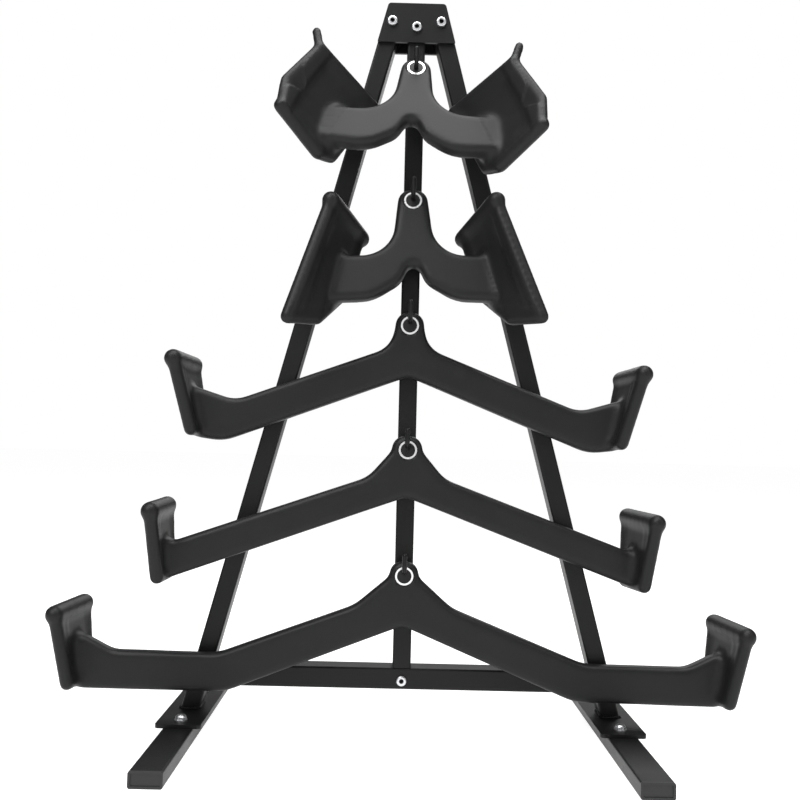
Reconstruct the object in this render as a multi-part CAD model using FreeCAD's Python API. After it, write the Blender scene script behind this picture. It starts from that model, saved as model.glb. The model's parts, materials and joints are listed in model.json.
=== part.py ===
import FreeCAD, Part
import math
import os

from FreeCAD import Placement, Rotation, Vector

# Storage rack for five pull-down grips: a flat A-frame of steel tube on two feet, with a centre
# post that carries five bent-rod hooks, and one rubber-coated grip hanging on each hook.
# Millimetres. +Z is up, the front faces -Y, +X is to the right seen from the front.
# The origin is on the floor, midway between the feet, in the middle plane of the legs.

rack_height = 1015.5

# ---- frame tubes
leg_top_drop = 4.5  # from the top of the rack down to the legs' level cut
post_top_drop = 9.5
leg_width = 25.0  # leg tube seen from the front, across its own axis
leg_lean = 14.8  # degrees from vertical
leg_top_x = 28.5  # centre of the leg at its top
post_width = 25.0
crossbar_height = 29.0
crossbar_z = 57.0  # underside of the crossbar
tube_depth = 38.0  # legs, post and crossbar, front to back
tube_wall = 2.0
tube_corner = 3.0  # outside corner radius of every tube

# ---- feet
foot_width = 40.0
foot_height = 20.0
foot_length = 550.0
foot_plate_width = 60.0
foot_plate_length = 206.0
foot_plate_thickness = 5.0
foot_plate_corner = 6.0
foot_bolt_reach = 80.0  # from the leg to each foot bolt

# ---- plastic plugs in the ends of the foot tubes
cap_flange = 3.0  # thickness outside the tube
cap_plug = 14.0  # length inside the tube
cap_recess = 1.2
cap_rim = 3.0

# ---- plates that clamp the tops of the legs and post
top_plate_thickness = 5.0
top_plate_height = 56.0
top_plate_corner = 5.0
top_side_bolt_drop = 26.5
top_post_bolt_drop = 34.5

# ---- tang that joins the post to the crossbar
tang_width = 19.0
tang_thickness = 8.0
tang_in_post = 45.0
tang_bottom_gap = 3.0  # above the crossbar's lower wall
crossbar_bolt_z = 69.0

# ---- fasteners
bolt_d = 8.0
bolt_hole_clearance = 0.4
button_head_d = 14.0
button_head_height = 4.6
hex_socket = 5.0
hex_socket_depth = 3.0
hex_head_flats = 13.0
hex_head_height = 5.3
nut_flats = 13.0
nut_height = 6.5
bolt_tail = 2.5  # thread past the nut
washer_d = 17.0
washer_thickness = 1.6

# ---- hooks
rod_d = 6.5
rod_rise = 12.0  # degrees that each hook climbs from the post
hook_reach = 50.0  # post's front face to the upright end
hook_bend = 10.0  # radius at the rod's centre line
hook_upright = 20.0  # height of the tip above the bend's low side
hook_in_post = 10.0  # stub welded inside the post
hook_share = (0.2108, 0.3761, 0.5474, 0.7127, 0.8890)  # height of each hook, as a share of the rack

# ---- eye sleeves
eye_outer_d = 27.0
eye_bore_d = 13.5  # at the waist
eye_flare = 25.0  # radius of the rounded bore, seen along the arm
eye_rim_round = 1.2
hook_clearance = 0.3

# ---- rubber-coated grips
arm_thickness = 24.0
arm_round = 7.5
head_radius = 19.0
core_thickness = 8.0
core_width = 24.0
core_paddle_thickness = 5.0
core_share = 0.76  # size of a paddle's core against the paddle
edge_radius = 9.0  # rear and bottom edges of a paddle
web_thickness = 15.0

# Each grip in its own frame: x to the right and z up from the centre of the eye, y = 0 in the
# middle of the arm and the front at -y. Outlines are given for the right half, as corners
# (x, z, corner radius), first along the top of the arm, then along its underside.
# A paddle is given by rows of points (x, y, z) on its middle surface, from front to rear, each row
# from top to bottom. lip is the radius of its top edge, rim that of its front edge, horn the way
# that the front edge runs on past the lip, and knob how far the lip runs on past the rear edge.
# As it hangs, a grip's eye is at eye_y. Its foot swings forward by lean, its right end goes back by
# yaw, and it turns clockwise about the hook, seen from the front, by turn. All are degrees.
grips = [
    dict(
        name="wide_bar",
        eye_y=-40.0,
        lean=0.0,
        yaw=1.0,
        turn=0.7,
        lip=12.5,
        rim=9.0,
        horn=(0, 0, 0),
        knob=0.0,
        top=[(20, -2, 7), (66, -42, 60), (248, -112, 60), (388, -112, 40), (436, -88, 9)],
        bottom=[(436, -164, 9), (236, -163, 70), (0, -68, 14)],
        rows=[
            [(454, -52, -60), (439, -34, -152)],
            [(444, 52, -59), (431, 34, -152)],
        ],
    ),
    dict(
        name="medium_straight_bar",
        eye_y=-52.0,
        lean=0.0,
        yaw=4.5,
        turn=0.4,
        lip=12.5,
        rim=9.0,
        horn=(0, 0, 0),
        knob=0.0,
        top=[(21, -2, 7), (52, -38, 45), (329, -137, 9)],
        bottom=[(322, -182, 9), (0, -64, 14)],
        rows=[
            [(332, -52, -88), (323, -33, -174)],
            [(324, 52, -86), (316, 33, -174)],
        ],
    ),
    dict(
        name="medium_angled_bar",
        eye_y=-35.0,
        lean=0.0,
        yaw=0.0,
        turn=0.6,
        lip=12.5,
        rim=9.0,
        horn=(0, 0, 0),
        knob=0.0,
        top=[(20, -2, 7), (26, -30, 36), (236, -110, 45), (298, -91, 9)],
        bottom=[(290, -162, 9), (250, -167, 60), (0, -70, 14)],
        rows=[
            [(313, -52, -59), (290, -32, -152)],
            [(305, 52, -61), (285, 32, -152)],
        ],
    ),
    dict(
        name="close_tall_grip",
        eye_y=-41.4,
        lean=14.0,
        yaw=0.0,
        turn=-1.4,
        lip=12.5,
        rim=9.0,
        horn=(0, 0, 0),
        knob=7.0,
        top=[(30, -78, 46), (118, -80, 9)],
        bottom=[(140, -146, 9), (56, -143, 60), (17, -118, 30), (0, -79, 10)],
        rows=[
            [(110, -50, -20), (164, -50, -185)],
            [(97, -15, -23), (129, -15, -174)],
            [(75, 44, -28), (99, 48, -116)],
        ],
    ),
    dict(
        name="close_winged_grip",
        eye_y=-46.6,
        lean=25.0,
        yaw=0.0,
        turn=3.0,
        lip=8.0,
        rim=6.5,
        horn=(6, -3, 25),
        knob=0.0,
        top=[(30, -75, 48), (122, -76, 9)],
        bottom=[(138, -132, 9), (56, -139, 60), (18, -114, 30), (0, -77, 10)],
        rows=[
            [(130, -53, -18), (168, -54, -81), (169, -54, -125)],
            [(84, 0, -29), (113, 0, -84), (121, 2, -150)],
            [(57, 30, -37), (83, 30, -85), (106, 30, -132)],
        ],
    ),
]

leg_top_z = rack_height - leg_top_drop
post_top_z = rack_height - post_top_drop
top_side_bolt_z = rack_height - top_side_bolt_drop
top_post_bolt_z = rack_height - top_post_bolt_drop
hook_z = [share * rack_height for share in hook_share]
front_y = -tube_depth / 2
rear_y = tube_depth / 2
foot_reach = foot_length / 2
eye_length = arm_thickness
lean = math.radians(leg_lean)
slope = math.tan(lean)
leg_half = leg_width / 2 / math.cos(lean)  # half the leg's width along a level line
plate_top = foot_height + foot_plate_thickness
leg_axis = Vector(-math.sin(lean), 0, math.cos(lean))
up = Vector(0, 0, 1)
forward = Vector(0, -1, 0)


def leg_x(z):
    """Centre of the right leg at height z."""
    return leg_top_x + (leg_top_z - z) * slope


foot_x = leg_x(plate_top)


def vec(point):
    return Vector(*point)


def fuse(shapes):
    joined = shapes[0]
    for shape in shapes[1:]:
        joined = joined.fuse(shape)
    return joined.removeSplitter()


def mirrored(shape):
    return shape.mirror(Vector(0, 0, 0), Vector(1, 0, 0))


def corner_arc(before, corner, after, radius):
    """Arc that rounds one corner of an outline, as its two ends and its middle."""
    back = (before - corner).normalize()
    ahead = (after - corner).normalize()
    half = back.getAngle(ahead) / 2
    setback = radius / math.tan(half)
    inward = (back + ahead).normalize()
    centre = corner + inward * (radius / math.sin(half))
    return corner + back * setback, centre - inward * radius, corner + ahead * setback


def rounded_wire(corners, place):
    """Closed wire through corners (a, b, radius); place(a, b) puts a corner in space."""
    points = [place(a, b) for a, b, radius in corners]
    count = len(points)
    edges = []
    last_end = None
    first_start = None
    for index in range(count):
        radius = corners[index][2]
        before = points[index - 1]
        after = points[(index + 1) % count]
        if radius > 0:
            start, middle, end = corner_arc(before, points[index], after, radius)
        else:
            start = end = points[index]
        if last_end is None:
            first_start = start
        elif (start - last_end).Length > 1e-6:
            edges.append(Part.LineSegment(last_end, start).toShape())
        if radius > 0:
            edges.append(Part.Arc(start, middle, end).toShape())
        last_end = end
    edges.append(Part.LineSegment(last_end, first_start).toShape())
    return Part.Wire(edges)


def prism(corners, place, push):
    return Part.Face(rounded_wire(corners, place)).extrude(push)


def box_corners(width, height, radius):
    w = width / 2
    h = height / 2
    return [(-w, -h, radius), (w, -h, radius), (w, h, radius), (-w, h, radius)]


def tube(width, depth, wall, place, push):
    """Hollow rectangular tube with rounded corners."""
    outer = prism(box_corners(width, depth, tube_corner), place, push)
    inner_radius = max(tube_corner - wall, 0.6)
    inner = prism(box_corners(width - 2 * wall, depth - 2 * wall, inner_radius), place, push)
    return outer.cut(inner)


def rod(diameter, start, direction, length):
    return Part.makeCylinder(diameter / 2, length, start, direction)


def hexagon(flats, start, direction, length):
    """Hexagonal prism, its flats level when it lies along Y."""
    radius = flats / math.sqrt(3)
    turn = Rotation(up, direction)
    points = []
    for step in range(7):
        angle = math.radians(60 * step)
        spoke = Vector(radius * math.cos(angle), radius * math.sin(angle), 0)
        points.append(start + turn.multVec(spoke))
    return Part.Face(Part.makePolygon(points)).extrude(Vector(direction) * length)


def cut_holes(shape, holes):
    for hole in holes:
        shape = shape.cut(hole)
    return shape


# ---- frame

def leg_tube():
    """Right leg, cut level at the top and bottom."""
    long = (leg_top_z - plate_top) / math.cos(lean) + 2 * leg_width
    start = Vector(leg_x(plate_top), 0, plate_top) - leg_axis * leg_width
    across = Vector(math.cos(lean), 0, math.sin(lean))

    def place(a, b):
        return start + across * a + Vector(0, b, 0)

    shape = tube(leg_width, tube_depth, tube_wall, place, leg_axis * long)
    band = Part.makeBox(2000, 200, leg_top_z - plate_top, Vector(-1000, -100, plate_top))
    return shape.common(band)


def post_tube():
    bottom = crossbar_z + crossbar_height

    def place(a, b):
        return Vector(a, b, bottom)

    return tube(post_width, tube_depth, tube_wall, place, up * (post_top_z - bottom))


def crossbar_tube():
    """Level tube whose ends are mitred to the inner faces of the legs."""
    mid_z = crossbar_z + crossbar_height / 2
    reach = leg_x(mid_z)

    def place(a, b):
        return Vector(-reach, a, mid_z + b)

    shape = tube(tube_depth, crossbar_height, tube_wall, place, Vector(2 * reach, 0, 0))
    low = crossbar_z - 10
    high = crossbar_z + crossbar_height + 10
    low_x = leg_x(low) - leg_half
    high_x = leg_x(high) - leg_half
    profile = [(-low_x, low, 0), (low_x, low, 0), (high_x, high, 0), (-high_x, high, 0)]
    between = prism(profile, lambda x, z: Vector(x, -60, z), Vector(0, 120, 0))
    return shape.common(between)


def post_tang():
    """Flat bar welded in the foot of the post, which drops into the crossbar."""
    low = crossbar_z + tube_wall + tang_bottom_gap
    high = crossbar_z + crossbar_height + tang_in_post
    corner = Vector(-tang_width / 2, -tang_thickness / 2, low)
    return Part.makeBox(tang_width, tang_thickness, high - low, corner)


def top_plate(y):
    """Plate over the tops of the legs; y is its front face."""
    low = rack_height - top_plate_height
    low_x = leg_x(low) + leg_half
    high_x = leg_x(rack_height) + leg_half
    corners = [
        (-low_x, low, 1.5),
        (low_x, low, 1.5),
        (high_x, rack_height, top_plate_corner),
        (-high_x, rack_height, top_plate_corner),
    ]
    return prism(corners, lambda x, z: Vector(x, y, z), Vector(0, top_plate_thickness, 0))


def foot_tube():
    def place(a, b):
        return Vector(foot_x + a, -foot_reach, foot_height / 2 + b)

    return tube(foot_width, foot_height, tube_wall, place, Vector(0, foot_length, 0))


def foot_plate():
    corners = box_corners(foot_plate_width, foot_plate_length, foot_plate_corner)
    return prism(corners, lambda a, b: Vector(foot_x + a, b, foot_height), up * foot_plate_thickness)


def foot_cap(outward):
    """Plug in one end of the right foot tube; outward is -1 at the front and 1 at the rear."""
    y = outward * foot_reach
    push = Vector(0, outward, 0)

    def place_at(level):
        return lambda a, b: Vector(foot_x + a, level, foot_height / 2 + b)

    flange = prism(box_corners(foot_width, foot_height, tube_corner), place_at(y), push * cap_flange)
    plug_w = foot_width - 2 * tube_wall
    plug_h = foot_height - 2 * tube_wall
    plug = prism(box_corners(plug_w, plug_h, 1.0), place_at(y), push * -cap_plug)
    hollow_w = plug_w - 2 * cap_rim
    hollow_h = plug_h - 2 * cap_rim
    hollow_start = place_at(y - outward * cap_plug)
    hollow = prism(box_corners(hollow_w, hollow_h, 0.5), hollow_start, push * (cap_plug - 1))
    face_w = foot_width - 2 * cap_rim
    face_h = foot_height - 2 * cap_rim
    recess = prism(
        box_corners(face_w, face_h, 1.0),
        place_at(y + outward * cap_flange),
        push * -cap_recess,
    )
    return flange.fuse(plug).removeSplitter().cut(hollow).cut(recess)


# ---- hooks and fasteners

def hook(z):
    """Bent rod: a stub inside the post, a rising arm, a bend and an upright end."""
    rise = math.radians(rod_rise)
    along = Vector(0, -math.cos(rise), math.sin(rise))
    root = Vector(0, -tube_depth / 2, z)
    start = root - along * hook_in_post
    knee = root + along * (hook_reach / math.cos(rise))
    tip = knee + up * hook_upright
    arc_start, arc_middle, arc_end = corner_arc(start, knee, tip, hook_bend)
    path = Part.Wire([
        Part.LineSegment(start, arc_start).toShape(),
        Part.Arc(arc_start, arc_middle, arc_end).toShape(),
        Part.LineSegment(arc_end, tip).toShape(),
    ])
    ring = Part.Wire(Part.makeCircle(rod_d / 2, start, along))
    bent = path.makePipeShell([ring], True, False)
    return bent.fuse(Part.makeSphere(rod_d / 2, tip)).removeSplitter()


def button_bolt(x, y, z, grip_length):
    """Socket button-head bolt along Y; y is the face under its head."""
    seat = Vector(x, y, z)
    shank = rod(bolt_d, seat, -forward, grip_length)
    head = rod(button_head_d, seat, forward, button_head_height)
    head = head.makeFillet(button_head_height * 0.45, [head_rim(head, y - button_head_height)])
    socket = hexagon(hex_socket, seat + forward * button_head_height, -forward, hex_socket_depth)
    return head.fuse(shank).cut(socket)


def head_rim(head, y):
    """Edge round the outer face of a bolt head."""
    for edge in head.Edges:
        if abs(edge.BoundBox.YMin - y) < 1e-6 and abs(edge.BoundBox.YMax - y) < 1e-6:
            return edge
    return head.Edges[0]


def hex_bolt(x, y, z, grip_length):
    """Hexagon-head bolt pointing down; z is the face under its head."""
    seat = Vector(x, y, z)
    shank = rod(bolt_d, seat, -up, grip_length)
    head = hexagon(hex_head_flats, seat, up, hex_head_height)
    dome = Part.makeCone(hex_head_flats * 0.75, hex_head_flats * 0.42, hex_head_height, seat, up)
    return head.common(dome).fuse(shank)


def ring(outer_d, inner_d, start, direction, length):
    return rod(outer_d, start, direction, length).cut(rod(inner_d, start, direction, length))


def nut(start, direction):
    """Hexagon nut, bored for its bolt."""
    body = hexagon(nut_flats, start, direction, nut_height)
    return body.cut(rod(bolt_d, start, direction, nut_height))


hole_d = bolt_d + bolt_hole_clearance
plate_front_y = front_y - top_plate_thickness
plate_rear_y = rear_y + top_plate_thickness
top_bolts_at = [
    (-leg_x(top_side_bolt_z), top_side_bolt_z),
    (0.0, top_post_bolt_z),
    (leg_x(top_side_bolt_z), top_side_bolt_z),
]
foot_bolts_at = [(side * foot_x, end * foot_bolt_reach) for side in (-1, 1) for end in (-1, 1)]
top_stack = plate_rear_y - plate_front_y + washer_thickness + nut_height + bolt_tail
bar_stack = tube_depth + washer_thickness + nut_height + bolt_tail
foot_stack = washer_thickness + foot_plate_thickness + tube_wall + nut_height + 1.0

top_holes = [rod(hole_d, Vector(x, -60, z), -forward, 120) for x, z in top_bolts_at]
bar_hole = rod(hole_d, Vector(0, -60, crossbar_bolt_z), -forward, 120)
foot_drill_z = foot_height - tube_wall - 2
foot_holes = [rod(hole_d, Vector(x, y, foot_drill_z), up, 12) for x, y in foot_bolts_at]

tang = post_tang()
hooks = [hook(z) for z in hook_z]
right_leg = cut_holes(leg_tube(), top_holes)
post = cut_holes(post_tube(), top_holes + hooks)
crossbar = crossbar_tube().cut(bar_hole).cut(tang)
right_foot = cut_holes(foot_tube(), foot_holes)
right_plate = cut_holes(foot_plate(), foot_holes)
right_front_cap = foot_cap(-1)
right_rear_cap = foot_cap(1)

parts = {
    "right_leg": right_leg,
    "left_leg": mirrored(right_leg),
    "centre_post": post,
    "crossbar": crossbar,
    "post_tang": tang.cut(bar_hole),
    "top_plate_front": cut_holes(top_plate(plate_front_y), top_holes),
    "top_plate_rear": cut_holes(top_plate(rear_y), top_holes),
    "right_foot": right_foot,
    "left_foot": mirrored(right_foot),
    "right_foot_plate": right_plate,
    "left_foot_plate": mirrored(right_plate),
    "right_foot_cap_front": right_front_cap,
    "left_foot_cap_front": mirrored(right_front_cap),
    "right_foot_cap_rear": right_rear_cap,
    "left_foot_cap_rear": mirrored(right_rear_cap),
}
for number, shape in enumerate(hooks, 1):
    parts["hook_%d" % number] = shape

rear_seat = Vector(0, plate_rear_y, 0)
bar_seat = Vector(0, tube_depth / 2, crossbar_bolt_z)
parts["top_bolts"] = Part.makeCompound(
    [button_bolt(x, plate_front_y, z, top_stack) for x, z in top_bolts_at])
parts["top_washers"] = Part.makeCompound(
    [ring(washer_d, hole_d, rear_seat + Vector(x, 0, z), -forward, washer_thickness)
     for x, z in top_bolts_at])
parts["top_nuts"] = Part.makeCompound(
    [nut(rear_seat + Vector(x, washer_thickness, z), -forward) for x, z in top_bolts_at])
parts["crossbar_bolt"] = button_bolt(0, -tube_depth / 2, crossbar_bolt_z, bar_stack)
parts["crossbar_washer"] = ring(washer_d, hole_d, bar_seat, -forward, washer_thickness)
parts["crossbar_nut"] = nut(bar_seat - forward * washer_thickness, -forward)
parts["foot_bolts"] = Part.makeCompound(
    [hex_bolt(x, y, plate_top + washer_thickness, foot_stack) for x, y in foot_bolts_at])
parts["foot_washers"] = Part.makeCompound(
    [ring(washer_d, hole_d, Vector(x, y, plate_top), up, washer_thickness) for x, y in foot_bolts_at])
parts["foot_weld_nuts"] = Part.makeCompound(
    [nut(Vector(x, y, foot_height - tube_wall - nut_height), up) for x, y in foot_bolts_at])


# ---- grips

def in_arm_plane(y):
    return lambda x, z: Vector(x, y, z)


def both_sides(top, bottom):
    """Whole outline from its right half, with the head on top and the underside's middle once."""
    head = [(head_radius, head_radius, head_radius * 0.93)]
    right = head + top + bottom
    left = [(-x, z, radius) for x, z, radius in reversed(right[:-1])]
    return right + left


def paddle_rows(grip):
    return [[vec(point) for point in row] for row in grip["rows"]]


def paddle_middle(rows):
    """Centre of a paddle and the direction out of its palm's back."""
    points = [point for row in rows for point in row]
    centre = Vector(0, 0, 0)
    for point in points:
        centre = centre + point * (1 / len(points))
    front, rear = rows[0], rows[-1]
    outward = (rear[-1] - front[0]).cross(front[-1] - rear[0]).normalize()
    return centre, outward if outward.x > 0 else -outward


def arm(grip):
    """Flat arm with rounded edges, ending in the middle surface of each paddle."""
    outline = both_sides(grip["top"], grip["bottom"])
    slab = prism(outline, in_arm_plane(-arm_thickness / 2), Vector(0, arm_thickness, 0))
    rims = [edge for edge in slab.Edges if edge.BoundBox.YLength < 1e-6]
    slab = slab.makeFillet(arm_round, rims)
    beyond = outside_paddle(grip)
    return slab.cut(beyond).cut(mirrored(beyond))


def outside_paddle(grip):
    """Block that fills the space outside the right paddle's middle plane."""
    centre, outward = paddle_middle(paddle_rows(grip))
    block = Part.makeBox(400, 400, 200, Vector(-200, -200, 0))
    block.Placement = Placement(centre, Rotation(up, outward))
    return block


def capsule(start, end, radius):
    """Round bar with round ends."""
    run = end - start
    bar = Part.makeCylinder(radius, run.Length, start, run)
    return bar.fuse(Part.makeSphere(radius, start)).fuse(Part.makeSphere(radius, end))


def web(rows, thickness):
    """Plate of one thickness about the rows of points, straight from point to point."""
    half = paddle_middle(rows)[1] * (thickness / 2)
    cells = []
    for pair in zip(rows, rows[1:]):
        for level in range(len(rows[0]) - 1):
            ends = []
            for row in pair:
                above, below = row[level], row[level + 1]
                loop = [above + half, above - half, below - half, below + half]
                ends.append(Part.makePolygon(loop + loop[:1]))
            cells.append(Part.makeLoft(ends, True, True))
    return fuse(cells)


def edging(points, radius):
    """Round edge that follows a row of points."""
    return [capsule(start, end, radius) for start, end in zip(points, points[1:])]


def paddle(grip):
    """Hand plate at the right end of an arm, with a thick lip on top and rolled edges."""
    rows = paddle_rows(grip)
    lip_line = [row[0] for row in rows]
    low_line = [row[-1] for row in rows]
    front = rows[0]
    rear = rows[-1]
    horn_tip = front[0] + vec(grip["horn"])
    knob_tip = rear[0] + (lip_line[-1] - lip_line[-2]).normalize() * grip["knob"]
    shape = web(rows, web_thickness)
    edges = edging(lip_line[:-1] + [knob_tip], grip["lip"])
    edges += edging(front, grip["rim"])
    if (horn_tip - front[0]).Length > 0:
        edges.append(capsule(front[0], horn_tip, grip["rim"]))
    edges += edging(rear, edge_radius)
    edges += edging(low_line, edge_radius)
    for edge in edges:
        shape = shape.fuse(edge)
    return shape


def core_paddle(grip):
    """Steel plate inside a paddle, a smaller copy of the paddle's own."""
    rows = paddle_rows(grip)
    centre = paddle_middle(rows)[0]
    inner = []
    for row in rows:
        inner.append([centre + (point - centre) * core_share for point in row])
    return web(inner, core_paddle_thickness)


def core_arm(grip):
    """Flat steel bar that runs inside the arm, under the eye, from paddle to paddle."""
    tops = grip["top"]
    unders = grip["bottom"]
    half = core_width / 2
    crown = (0.0, (-eye_outer_d / 2 + unders[-1][1]) / 2)
    outer = ((tops[-1][0] + unders[0][0]) / 2 - half, (tops[-1][1] + unders[0][1]) / 2)
    knee = None
    if len(tops) > 3:
        knee = ((tops[2][0] + unders[-2][0]) / 2, (tops[2][1] + unders[-2][1]) / 2)
    elif len(unders) > 3:
        knee = (unders[1][0], (tops[0][1] + unders[1][1]) / 2 - 1)
    spine = [crown, knee, outer] if knee else [crown, outer]
    bars = [bar_between(spine[i], spine[i + 1], half) for i in range(len(spine) - 1)]
    hub_low = crown[1] - half
    hub_high = 1 - eye_outer_d / 2
    corner = Vector(-half, -core_thickness / 2, hub_low)
    hub = Part.makeBox(core_width, core_thickness, hub_high - hub_low, corner)
    right = fuse(bars)
    whole = fuse([right, mirrored(right), hub])
    beyond = outside_paddle(grip)
    return whole.cut(beyond).cut(mirrored(beyond))


def bar_between(start, end, half):
    """Flat bar with round ends between two points of the arm's middle plane."""
    a = Vector(start[0], -core_thickness / 2, start[1])
    b = Vector(end[0], -core_thickness / 2, end[1])
    side = (b - a).cross(Vector(0, 1, 0)).normalize() * half
    face = Part.Face(Part.makePolygon([a + side, b + side, b - side, a - side, a + side]))
    slab = face.extrude(Vector(0, core_thickness, 0))
    for end_point in (a, b):
        slab = slab.fuse(Part.makeCylinder(half, core_thickness, end_point, Vector(0, 1, 0)))
    return slab


def eye_sleeve():
    """Steel bush whose bore narrows to a rounded waist in the middle."""
    half = eye_length / 2
    waist = eye_bore_d / 2
    mouth = waist + eye_flare - math.sqrt(eye_flare**2 - half**2)
    outer = eye_outer_d / 2
    r = eye_rim_round
    profile = Part.Wire([
        Part.Arc(Vector(mouth, -half, 0), Vector(waist, 0, 0), Vector(mouth, half, 0)).toShape(),
        Part.LineSegment(Vector(mouth, half, 0), Vector(outer - r, half, 0)).toShape(),
        Part.LineSegment(Vector(outer - r, half, 0), Vector(outer, half - r, 0)).toShape(),
        Part.LineSegment(Vector(outer, half - r, 0), Vector(outer, r - half, 0)).toShape(),
        Part.LineSegment(Vector(outer, r - half, 0), Vector(outer - r, -half, 0)).toShape(),
        Part.LineSegment(Vector(outer - r, -half, 0), Vector(mouth, -half, 0)).toShape(),
    ])
    return Part.Face(profile).revolve(Vector(0, 0, 0), Vector(0, 1, 0), 360)


def hang(grip, z):
    """Placement of a grip on the hook at height z, and the point of the rod inside its eye."""
    rise = math.radians(rod_rise)
    tilt = math.radians(grip["lean"] - rod_rise)
    drop = eye_bore_d / 2 + eye_flare - (eye_flare + rod_d / 2 + hook_clearance) / math.cos(tilt)
    # the rod passes the middle plane of the arm this far above the centre of the eye
    pose = Rotation(up, grip["yaw"]).multiply(Rotation(Vector(1, 0, 0), -grip["lean"]))
    above = pose.multVec(up) * drop
    rod_y = grip["eye_y"] + above.y
    rod_z = z + (-tube_depth / 2 - rod_y) * math.tan(rise)
    on_rod = Vector(0, rod_y, rod_z)
    along = Vector(0, -math.cos(rise), math.sin(rise))
    placed = Placement(on_rod - above, pose)
    turn = Placement(Vector(0, 0, 0), Rotation(along, -grip["turn"]), on_rod)
    return turn.multiply(placed), on_rod


for number, grip in enumerate(grips):
    placement, on_rod = hang(grip, hook_z[number])
    sleeve = eye_sleeve()
    core = fuse([core_arm(grip), core_paddle(grip), mirrored(core_paddle(grip))])
    core = core.cut(rod(eye_outer_d, Vector(0, 50, 0), forward, 100))
    right_paddle = paddle(grip)
    coat = arm(grip).fuse(right_paddle).fuse(mirrored(right_paddle))
    coat = coat.cut(rod(eye_outer_d, Vector(0, 50, 0), forward, 100)).cut(core)
    for part_name, shape in (("coat", coat), ("core", core), ("eye", sleeve)):
        shape.Placement = placement.multiply(shape.Placement)
        parts["%s_%s" % (grip["name"], part_name)] = shape
    print("%s swings about %.3f %.3f %.3f" % ((grip["name"],) + tuple(on_rod)))

os.makedirs("parts", exist_ok=True)
for name, shape in parts.items():
    print(name, shape.ShapeType, len(shape.Solids), shape.isValid(), round(shape.Volume))
    shape.exportStep("parts/%s.step" % name)
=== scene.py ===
import json
import math

import bmesh
import bpy
from mathutils import Matrix, Quaternion, Vector, noise


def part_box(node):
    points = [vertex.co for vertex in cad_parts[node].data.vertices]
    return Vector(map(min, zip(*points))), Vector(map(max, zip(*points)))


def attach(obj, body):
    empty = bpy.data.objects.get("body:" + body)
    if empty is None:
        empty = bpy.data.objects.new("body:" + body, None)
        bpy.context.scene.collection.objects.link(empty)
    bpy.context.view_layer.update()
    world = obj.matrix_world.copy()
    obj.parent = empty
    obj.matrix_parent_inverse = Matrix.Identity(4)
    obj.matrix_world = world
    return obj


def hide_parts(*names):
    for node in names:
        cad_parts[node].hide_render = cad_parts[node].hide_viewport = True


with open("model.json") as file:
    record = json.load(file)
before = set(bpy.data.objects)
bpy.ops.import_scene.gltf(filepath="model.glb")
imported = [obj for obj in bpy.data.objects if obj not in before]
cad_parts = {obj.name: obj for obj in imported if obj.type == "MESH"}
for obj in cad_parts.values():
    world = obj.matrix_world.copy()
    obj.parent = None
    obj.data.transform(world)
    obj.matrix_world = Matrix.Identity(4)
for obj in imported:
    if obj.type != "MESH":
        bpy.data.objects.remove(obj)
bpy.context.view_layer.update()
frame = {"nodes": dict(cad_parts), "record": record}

nodes = frame["nodes"]
scene = bpy.context.scene
print("frame loaded,", len(nodes), "nodes")


# ---- shader helpers

class Flow:
    # an output socket that can be used in plain arithmetic
    def __init__(self, finish, socket):
        self.finish = finish
        self.socket = socket

    def calc(self, operation, *values):
        inputs = {0: self}
        for index, value in enumerate(values, 1):
            inputs[index] = value
        return self.finish.add("ShaderNodeMath", {"operation": operation}, inputs)

    def __add__(self, other):
        return self.calc("ADD", other)

    def __radd__(self, other):
        return self.calc("ADD", other)

    def __mul__(self, other):
        return self.calc("MULTIPLY", other)

    def __rmul__(self, other):
        return self.calc("MULTIPLY", other)

    def between(self, low, high):
        # 0 below low, 1 above high, smooth in the middle
        return self.finish.add(
            "ShaderNodeMapRange",
            {"interpolation_type": "SMOOTHSTEP", "clamp": True},
            {"Value": self, "From Min": low, "From Max": high, "To Min": 0.0, "To Max": 1.0},
        )


class Finish:
    # one material and its node tree
    def __init__(self, name, look):
        self.material = bpy.data.materials.new(name)
        self.material.use_nodes = True
        self.tree = self.material.node_tree
        self.shader = self.tree.nodes["Principled BSDF"]
        self.look = look
        self.place = self.add("ShaderNodeTexCoord", output="Object")

    def add(self, kind, settings=None, inputs=None, output=0):
        made = self.tree.nodes.new(kind)
        for key, value in (settings or {}).items():
            setattr(made, key, value)
        for key, value in (inputs or {}).items():
            self.feed(made.inputs[key], value)
        return Flow(self, made.outputs[output])

    def feed(self, socket, value):
        if isinstance(value, Flow):
            self.tree.links.new(value.socket, socket)
        else:
            socket.default_value = value

    def speckle(self, scale, detail=2.0, rough=0.5, at=None):
        inputs = {"Vector": at or self.place, "Scale": scale, "Detail": detail, "Roughness": rough}
        return self.add("ShaderNodeTexNoise", None, inputs, "Fac")

    def stretched(self, x, y, z):
        return self.add("ShaderNodeVectorMath", {"operation": "MULTIPLY"}, {0: self.place, 1: (x, y, z)})

    def blendColours(self, factor, first, second):
        ends = [end if isinstance(end, Flow) else (*end, 1.0) for end in (first, second)]
        return self.add(
            "ShaderNodeMix",
            {"data_type": "RGBA", "clamp_factor": True},
            {0: factor, 6: ends[0], 7: ends[1]},
            2,
        )

    def relief(self, height, strength, distance):
        inputs = {"Height": height, "Strength": strength, "Distance": distance}
        self.feed(self.shader.inputs["Normal"], self.add("ShaderNodeBump", None, inputs, "Normal"))

    def sets(self, **values):
        names = {"colour": "Base Color", "rough": "Roughness", "metal": "Metallic",
                 "gloss": "Specular IOR Level",
                 "glowColour": "Emission Color", "glow": "Emission Strength"}
        for key, value in values.items():
            self.feed(self.shader.inputs[names[key]], value)


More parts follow.
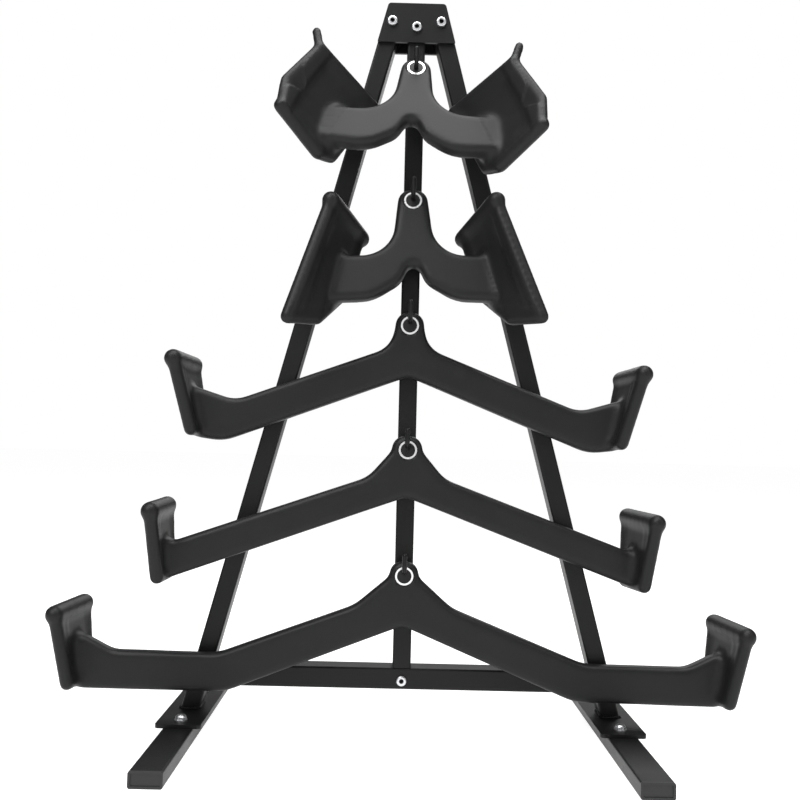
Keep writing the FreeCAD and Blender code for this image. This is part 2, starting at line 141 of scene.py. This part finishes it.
# black powder coat, baked on every piece of steel in the frame
powderLook = {"dark": (0.0030, 0.0030, 0.0034), "pale": (0.0062, 0.0062, 0.0066),
              "grain": 1500.0, "peel": 330.0, "roughLow": 0.36, "roughHigh": 0.50,
              "relief": 0.42, "depth": 0.00035, "gloss": 0.24}


def powderCoat():
    f = Finish("powder_coat", powderLook)
    look = f.look
    grain = f.speckle(look["grain"], 3.0, 0.6)
    peel = f.speckle(look["peel"], 1.0)
    cloud = f.speckle(9.0, 2.0)
    dust = f.speckle(60.0, 4.0, 0.65).between(0.60, 0.80)
    tone = cloud * 0.6 + grain * 0.4
    f.sets(colour=f.blendColours(tone, look["dark"], look["pale"]),
           rough=look["roughLow"] + (look["roughHigh"] - look["roughLow"]) * cloud + dust * 0.08,
           gloss=look["gloss"])
    f.relief(grain * 0.55 + peel * 0.45, look["relief"], look["depth"])
    return f.material


# soft charcoal rubber, moulded over the steel of each grip
rubberLook = {"dark": (0.0075, 0.0075, 0.0078), "pale": (0.0150, 0.0150, 0.0154),
              "grain": 1100.0, "ripple": 85.0, "roughLow": 0.42, "roughHigh": 0.56,
              "relief": 0.30, "depth": 0.0003, "gloss": 0.22}


def mouldedRubber():
    f = Finish("grip_rubber", rubberLook)
    look = f.look
    grain = f.speckle(look["grain"], 3.0, 0.55)
    ripple = f.speckle(look["ripple"], 2.0)
    cloud = f.speckle(14.0, 3.0, 0.6)
    rubbed = f.speckle(38.0, 5.0, 0.7).between(0.52, 0.78)
    tone = cloud * 0.7 + rubbed * 0.3
    f.sets(colour=f.blendColours(tone, look["dark"], look["pale"]),
           rough=look["roughLow"] + (look["roughHigh"] - look["roughLow"]) * (cloud * 0.5 + rubbed * 0.5),
           gloss=look["gloss"])
    f.relief(grain * 0.6 + ripple * 0.4, look["relief"], look["depth"])
    return f.material


# turned stainless steel of the eyes
eyeLook = {"dark": (0.74, 0.74, 0.75), "pale": (0.90, 0.90, 0.90), "rough": 0.24}


def turnedSteel():
    f = Finish("eye_steel", eyeLook)
    look = f.look
    rings = f.speckle(900.0, 1.0, 0.5, f.stretched(0.15, 1.0, 0.15))
    smear = f.speckle(120.0, 3.0)
    f.sets(colour=f.blendColours(rings * 0.6 + smear * 0.4, look["dark"], look["pale"]),
           metal=1.0,
           rough=look["rough"] + 0.10 * smear)
    f.relief(rings, 0.12, 0.0001)
    return f.material


# bright zinc on bolts, nuts and washers, with painted shade: the middle of each bolt head is coloured
# near black where its socket recess would lie in shadow
zincLook = {"dark": (0.52, 0.53, 0.55), "pale": (0.78, 0.78, 0.79), "rough": 0.28,
            "socket": (0.012, 0.012, 0.013), "paintedShadeRadius": 0.0029, "headHalf": 0.007}


def boltAxes():
    # where each bolt that is seen from the front crosses the frame, as x and z
    low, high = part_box("top_bolts")
    half = zincLook["headHalf"]
    barLow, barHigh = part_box("crossbar_bolt")
    side = high[0] - half
    return [(-side, high[2] - half), (side, high[2] - half), (0.0, low[2] + half),
            (0.0, (barLow[2] + barHigh[2]) / 2)]


def brightZinc():
    f = Finish("bright_zinc", zincLook)
    look = f.look
    spangle = f.speckle(480.0, 3.0, 0.6)
    stain = f.speckle(150.0, 2.0)
    away = None
    for x, z in boltAxes():
        shifted = f.add("ShaderNodeVectorMath", {"operation": "SUBTRACT"}, {0: f.place, 1: (x, 0.0, z)})
        level = f.add("ShaderNodeVectorMath", {"operation": "MULTIPLY"}, {0: shifted, 1: (1.0, 0.0, 1.0)})
        reach = f.add("ShaderNodeVectorMath", {"operation": "LENGTH"}, {0: level}, "Value")
        away = reach if away is None else away.calc("MINIMUM", reach)
    # painted shade: the near-black socket colour within a small radius of each bolt axis stands in for
    # the shadow inside the head's socket
    shade = away.between(look["paintedShadeRadius"], look["paintedShadeRadius"] + 0.0006)
    steel = f.blendColours(spangle * 0.5 + stain * 0.5, look["dark"], look["pale"])
    f.sets(colour=f.blendColours(shade, look["socket"], steel),
           metal=1.0,
           rough=look["rough"] + 0.14 * stain)
    f.relief(spangle, 0.10, 0.0001)
    return f.material


# bare plate inside the rubber
plateLook = {"dark": (0.20, 0.19, 0.18), "pale": (0.34, 0.33, 0.32), "rough": 0.5}


def hotRolled():
    f = Finish("hot_rolled_plate", plateLook)
    scale = f.speckle(70.0, 4.0, 0.6)
    f.sets(colour=f.blendColours(scale, f.look["dark"], f.look["pale"]),
           metal=0.8,
           rough=f.look["rough"] + 0.2 * scale)
    f.relief(scale, 0.3, 0.0003)
    return f.material


# matt black plastic of the foot plugs
plugLook = {"dark": (0.010, 0.010, 0.011), "pale": (0.020, 0.020, 0.021), "spark": 1900.0, "rough": 0.52}


def plugPlastic():
    f = Finish("plug_plastic", plugLook)
    look = f.look
    spark = f.speckle(look["spark"], 2.0, 0.6)
    cloud = f.speckle(30.0, 2.0)
    f.sets(colour=f.blendColours(cloud, look["dark"], look["pale"]), rough=look["rough"] + 0.1 * cloud)
    f.relief(spark, 0.35, 0.0003)
    return f.material


finishes = {
    "frame_powder_coat": powderCoat(),
    "grip_rubber": mouldedRubber(),
    "core_steel": hotRolled(),
    "eye_steel": turnedSteel(),
    "cap_plastic": plugPlastic(),
    "fastener_steel": brightZinc(),
}
print("finishes made")

slotOf = {part["node"]: part["material_slot"] for part in frame["record"]["subparts"]}
for name, node in nodes.items():
    node.data.materials.clear()
    node.data.materials.append(finishes[slotOf[name]])


# ---- mesh helpers

def newPiece(name, mesh, body, slot):
    piece = bpy.data.objects.new(name, mesh)
    scene.collection.objects.link(piece)
    mesh.materials.clear()
    mesh.materials.append(finishes[slot])
    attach(piece, body)
    return piece


def applied(piece):
    # the piece's mesh with its modifiers worked in
    view = bpy.context.evaluated_depsgraph_get()
    mesh = bpy.data.meshes.new_from_object(piece.evaluated_get(view), depsgraph=view)
    piece.modifiers.clear()
    old = piece.data
    piece.data = mesh
    bpy.data.meshes.remove(old)
    return mesh


def shadeSmooth(mesh):
    for face in mesh.polygons:
        face.use_smooth = True


def ease(value, low, high):
    t = min(max((value - low) / (high - low), 0.0), 1.0)
    return t * t * (3.0 - 2.0 * t)


# ---- soft edges on the plates and foot caps

plateEdges = {"width": 0.0009, "segments": 2, "angle": 50.0}
for name in ("top_plate_front", "top_plate_rear", "left_foot_plate", "right_foot_plate",
             "left_foot_cap_front", "right_foot_cap_front", "left_foot_cap_rear", "right_foot_cap_rear"):
    weld = nodes[name].modifiers.new("joined", "WELD")
    weld.merge_threshold = 0.00001
    soft = nodes[name].modifiers.new("eased", "BEVEL")
    soft.width = plateEdges["width"]
    soft.segments = plateEdges["segments"]
    soft.limit_method = "ANGLE"
    soft.angle_limit = math.radians(plateEdges["angle"])
    soft.harden_normals = True
print("edges eased")


# ---- rubber grips

# Each grip's rubber is re-skinned from its solid, so that arm, head and hand plate run into one
# another as one moulding. Corners of the hand plates are in the grip's own frame, in millimetres.
gripSkin = {"voxel": 0.0022, "blend": 0.0075, "smoothSteps": 8, "smoothBy": 0.5, "boreRadius": 0.01345,
            "eyeLength": 0.024}
grips = {
    "wide_bar": {
        "lean": 0.0, "yaw": 1.0, "turn": 0.7, "scoop": 0.0012, "flange": 0.0,
        "plate": [(454, -52, -60), (444, 52, -59), (431, 34, -152), (439, -34, -152)]},
    "medium_straight_bar": {
        "lean": 0.0, "yaw": 4.5, "turn": 0.4, "scoop": 0.0012, "flange": 0.0,
        "plate": [(332, -52, -88), (324, 52, -86), (316, 33, -174), (323, -33, -174)]},
    "medium_angled_bar": {
        "lean": 0.0, "yaw": 0.0, "turn": 0.6, "scoop": 0.0012, "flange": 0.0,
        "plate": [(313, -52, -59), (305, 52, -61), (285, 32, -152), (290, -32, -152)]},
    "close_tall_grip": {
        "lean": 14.0, "yaw": 0.0, "turn": -1.4, "scoop": 0.0018, "flange": 0.0012,
        "plate": [(110, -50, -20), (75, 44, -28), (99, 48, -116), (164, -50, -185)]},
    "close_winged_grip": {
        "lean": 25.0, "yaw": 0.0, "turn": 3.0, "scoop": 0.0018, "flange": 0.0020,
        "plate": [(130, -53, -18), (57, 30, -37), (106, 30, -132), (169, -54, -125)]},
}
hookRise = 12.0


def gripPlace(name, grip):
    # from the grip's own frame to the rack's
    low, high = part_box(name + "_eye")
    centre = (Vector(low) + Vector(high)) / 2
    rise = math.radians(hookRise)
    rod = Vector((0.0, -math.cos(rise), math.sin(rise)))
    turned = Quaternion(rod, math.radians(-grip["turn"])).to_matrix()
    yawed = Matrix.Rotation(math.radians(grip["yaw"]), 3, "Z")
    leaned = Matrix.Rotation(math.radians(-grip["lean"]), 3, "X")
    return Matrix.Translation(centre) @ (turned @ yawed @ leaned).to_4x4()


def pluggedCoat(name, place):
    # the coat with its eye seat stopped up, so that a remesh takes only its outside
    bm = bmesh.new()
    bm.from_mesh(nodes[name + "_coat"].data)
    bmesh.ops.remove_doubles(bm, verts=bm.verts, dist=0.000002)
    along = place @ Matrix.Rotation(math.radians(90.0), 4, "X")
    radius = gripSkin["boreRadius"] + 0.0002
    bmesh.ops.create_cone(bm, cap_ends=True, segments=96, radius1=radius, radius2=radius,
                          depth=gripSkin["eyeLength"] - 0.0001, matrix=along)
    mesh = bpy.data.meshes.new(name + "_skin")
    bm.to_mesh(mesh)
    bm.free()
    return mesh


def plateFrame(corners, side):
    # centre and half-spans of a hand plate: front to rear, top to bottom, and inwards
    frontTop, rearTop, rearBottom, frontBottom = [Vector((side * x, y, z)) / 1000 for x, y, z in corners]
    centre = (frontTop + rearTop + rearBottom + frontBottom) / 4
    back = (rearTop + rearBottom - frontTop - frontBottom) / 4
    down = (frontBottom + rearBottom - frontTop - rearTop) / 4
    inward = back.cross(down).normalized()
    if inward.x * side > 0:
        inward = -inward
    across = Matrix((back, down, inward)).transposed().inverted()
    return centre, across, inward


def pressPalms(mesh, grip, place):
    # hollows the palm side of each hand plate and raises the strip along its front edge
    toGrip = place.inverted()
    turnBack = toGrip.to_3x3()
    turnOut = place.to_3x3()
    for side in (-1, 1):
        centre, across, inward = plateFrame(grip["plate"], side)
        for v in mesh.vertices:
            own = toGrip @ v.co
            if own.x * side < 0.03:
                continue
            a, b, n = across @ (own - centre)
            if abs(a) > 1.3 or abs(b) > 1.3 or n < 0.0 or n > 0.02:
                continue
            facing = ease((turnBack @ v.normal).dot(inward), 0.35, 0.8)
            inside = (1 - ease(abs(b), 0.62, 0.98)) * ease(a, -0.80, -0.52) * (1 - ease(a, 0.62, 0.98))
            strip = (1 - ease(a, -0.84, -0.66)) * (1 - ease(abs(b), 0.95, 1.2))
            move = (strip * grip["flange"] - inside * grip["scoop"]) * facing
            v.co += turnOut @ (inward * move)


def openBore(mesh, place):
    # pulls the rubber round the eye out to a clean round seat
    toGrip = place.inverted()
    seat = gripSkin["boreRadius"]
    for v in mesh.vertices:
        own = toGrip @ v.co
        reach = math.hypot(own.x, own.z)
        if 0.0 < reach < seat + 0.0012:
            grow = seat / reach
            v.co = place @ Vector((own.x * grow, own.y, own.z * grow))


def softSkin(piece):
    # swells the skin and shrinks it back, which rounds every inner corner by the swell
    size = gripSkin["voxel"] * 1
    for swell in (gripSkin["blend"], -gripSkin["blend"], 0.0):
        remesh = piece.modifiers.new("skin", "REMESH")
        remesh.mode = "VOXEL"
        remesh.voxel_size = size
        if swell:
            puff = piece.modifiers.new("puff", "DISPLACE")
            puff.strength = swell
            puff.mid_level = 0.0
    soften = piece.modifiers.new("soften", "SMOOTH")
    soften.factor = gripSkin["smoothBy"]
    soften.iterations = gripSkin["smoothSteps"] // 1
    applied(piece)


for name, grip in grips.items():
    place = gripPlace(name, grip)
    piece = bpy.data.objects.new(name + "_rubber", pluggedCoat(name, place))
    scene.collection.objects.link(piece)
    softSkin(piece)
    pressPalms(piece.data, grip, place)
    openBore(piece.data, place)
    shadeSmooth(piece.data)
    piece.data.materials.clear()
    piece.data.materials.append(finishes["grip_rubber"])
    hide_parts(name + "_coat")
    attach(piece, name)
    print("skinned", name, len(piece.data.vertices), "points")


# ---- welds

weldLook = {"radius": 0.0021, "ripple": 0.0030, "swell": 0.13, "step": 0.0008, "sides": 10}


def roundedPath(corners, passes=2):
    # closed path with its corners cut
    points = [Vector(c) for c in corners]
    for _ in range(passes):
        cut = []
        for index, point in enumerate(points):
            ahead = points[(index + 1) % len(points)]
            run = (ahead - point).length
            share = min(0.25, 0.0015 / run)
            cut.append(point.lerp(ahead, share))
            cut.append(point.lerp(ahead, 1 - share))
        points = cut
    return points


def weldBead(name, corners, radius):
    path = roundedPath(corners)
    stops = []
    walked = 0.0
    for index, point in enumerate(path):
        ahead = path[(index + 1) % len(path)]
        run = (ahead - point).length
        steps = max(1, round(run / weldLook["step"]))
        for step in range(steps):
            stops.append((point.lerp(ahead, step / steps), walked + run * step / steps))
        walked += run
    bm = bmesh.new()
    rings = []
    for index, (point, along) in enumerate(stops):
        before = stops[index - 1][0]
        after = stops[(index + 1) % len(stops)][0]
        heading = (after - before).normalized()
        side = heading.cross(Vector((0.3, 0.5, 0.81))).normalized()
        lift = heading.cross(side)
        scallop = abs(math.sin(math.pi * along / weldLook["ripple"]))
        wander = noise.noise(point * 260.0)
        size = radius * (1 - weldLook["swell"] + 2 * weldLook["swell"] * scallop + 0.12 * wander)
        ring = []
        for spoke in range(weldLook["sides"]):
            angle = 2 * math.pi * spoke / weldLook["sides"]
            ring.append(bm.verts.new(point + (side * math.cos(angle) + lift * math.sin(angle)) * size))
        rings.append(ring)
    for index, ring in enumerate(rings):
        following = rings[(index + 1) % len(rings)]
        for spoke in range(weldLook["sides"]):
            nextSpoke = (spoke + 1) % weldLook["sides"]
            bm.faces.new((ring[spoke], ring[nextSpoke], following[nextSpoke], following[spoke]))
    bmesh.ops.recalc_face_normals(bm, faces=bm.faces)
    mesh = bpy.data.meshes.new(name)
    bm.to_mesh(mesh)
    bm.free()
    shadeSmooth(mesh)
    return newPiece(name, mesh, "frame", "frame_powder_coat")


barLow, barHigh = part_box("crossbar")
legLow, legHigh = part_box("right_leg")
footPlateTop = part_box("right_foot_plate")[1][2]
inset = 0.0008
for side, word in ((-1, "left"), (1, "right")):
    # crossbar to leg, whose inner face leans with the leg
    bottomX = side * (barHigh[0] + inset)
    bar = nodes["crossbar"].data
    topX = side * (max(v.co.x for v in bar.vertices if v.co.z > barHigh[2] - 0.0005) + inset)
    front = barLow[1] + inset
    rear = barHigh[1] - inset
    weldBead("weld_%s_crossbar" % word,
             [(bottomX, front, barLow[2] + inset), (topX, front, barHigh[2] - inset),
              (topX, rear, barHigh[2] - inset), (bottomX, rear, barLow[2] + inset)], weldLook["radius"])
    # leg to foot plate
    leg = nodes["%s_leg" % word].data
    foot = [v.co.x for v in leg.vertices if v.co.z < legLow[2] + 0.0005]
    level = footPlateTop + 0.0004
    weldBead("weld_%s_leg_foot" % word,
             [(min(foot), legLow[1], level), (max(foot), legLow[1], level),
              (max(foot), legHigh[1], level), (min(foot), legHigh[1], level)], weldLook["radius"])

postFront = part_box("centre_post")[0][1]
rodRadius = 0.00325
stubLength = 0.010
rise = math.radians(hookRise)
for number in range(1, 6):
    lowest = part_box("hook_%d" % number)[0][2]
    rootZ = lowest + rodRadius * math.cos(rise) + stubLength * math.sin(rise)
    ring = []
    for spoke in range(16):
        angle = 2 * math.pi * spoke / 16
        ring.append((math.cos(angle) * (rodRadius + 0.0006), postFront - 0.0002,
                     rootZ + math.sin(angle) * (rodRadius + 0.0006)))
    weldBead("weld_hook_%d" % number, ring, 0.0015)
print("welds laid")


# ---- floor, light and camera

floorLook = {"size": 30.0, "dark": (0.42, 0.42, 0.42), "pale": (0.46, 0.46, 0.455), "glow": 0.94}


def floorPaint():
    f = Finish("studio_floor", floorLook)
    cloud = f.speckle(1.3, 3.0)
    f.sets(colour=f.blendColours(cloud, floorLook["dark"], floorLook["pale"]), rough=0.75 + 0.1 * cloud,
           glowColour=(1.0, 1.0, 1.0, 1.0), glow=floorLook["glow"])
    f.relief(f.speckle(240.0, 2.0), 0.05, 0.0005)
    return f.material


floorMesh = bpy.data.meshes.new("floor")
bm = bmesh.new()
bmesh.ops.create_grid(bm, x_segments=12, y_segments=12, size=floorLook["size"])
bm.to_mesh(floorMesh)
bm.free()
floorMesh.materials.append(floorPaint())
floor = bpy.data.objects.new("floor", floorMesh)
scene.collection.objects.link(floor)

lamps = {
    "key": {"at": (-1.5, -2.3, 2.9), "size": (1.9, 1.5), "power": 78.0},
    "top": {"at": (0.2, -0.5, 3.0), "size": (2.4, 2.0), "power": 96.0},
    "fill": {"at": (2.5, -1.9, 1.5), "size": (1.6, 2.0), "power": 14.0},
    "low": {"at": (-0.6, -3.1, 0.9), "size": (2.2, 1.2), "power": 7.0},
    "back": {"at": (0.4, 2.6, 2.0), "size": (2.2, 1.6), "power": 24.0},
}
aim = Vector((0.0, 0.0, 0.5))
for name, lamp in lamps.items():
    light = bpy.data.lights.new("light_" + name, "AREA")
    light.shape = "RECTANGLE"
    light.size, light.size_y = lamp["size"]
    light.energy = lamp["power"]
    spot = bpy.data.objects.new("light_" + name, light)
    spot.location = lamp["at"]
    spot.rotation_euler = (aim - Vector(lamp["at"])).to_track_quat("-Z", "Y").to_euler()
    scene.collection.objects.link(spot)

world = bpy.data.worlds.new("studio")
world.use_nodes = True
studio = world.node_tree
sky = studio.nodes["Background"]
sky.inputs["Color"].default_value = (1.0, 1.0, 1.0, 1.0)
sky.inputs["Strength"].default_value = 0.10
backdrop = studio.nodes.new("ShaderNodeBackground")
backdrop.inputs["Color"].default_value = (1.0, 1.0, 1.0, 1.0)
backdrop.inputs["Strength"].default_value = 1.0
seen = studio.nodes.new("ShaderNodeLightPath")
either = studio.nodes.new("ShaderNodeMixShader")
studio.links.new(seen.outputs["Is Camera Ray"], either.inputs[0])
studio.links.new(sky.outputs[0], either.inputs[1])
studio.links.new(backdrop.outputs[0], either.inputs[2])
studio.links.new(either.outputs[0], studio.nodes["World Output"].inputs["Surface"])
scene.world = world
scene.view_settings.view_transform = "Standard"
scene.view_settings.look = "None"

shot = {"at": (-0.0214, -1.4649, 0.3938), "yaw": 0.41, "pitch": 2.44, "roll": 1.38, "lens": 46.8}
yaw, pitch, roll = [math.radians(shot[key]) for key in ("yaw", "pitch", "roll")]
ahead = Vector((math.sin(yaw) * math.cos(pitch), math.cos(yaw) * math.cos(pitch), math.sin(pitch)))
level = Vector((math.cos(yaw), -math.sin(yaw), 0.0))
raised = level.cross(ahead)
right = level * math.cos(roll) + raised * math.sin(roll)
upright = raised * math.cos(roll) - level * math.sin(roll)
lens = bpy.data.cameras.new("camera")
lens.sensor_width = 36.0
lens.lens = shot["lens"]
camera = bpy.data.objects.new("camera", lens)
turned = Matrix((right, upright, -ahead)).transposed().to_4x4()
camera.matrix_world = Matrix.Translation(Vector(shot["at"])) @ turned
scene.collection.objects.link(camera)
scene.camera = camera
print("stage set")
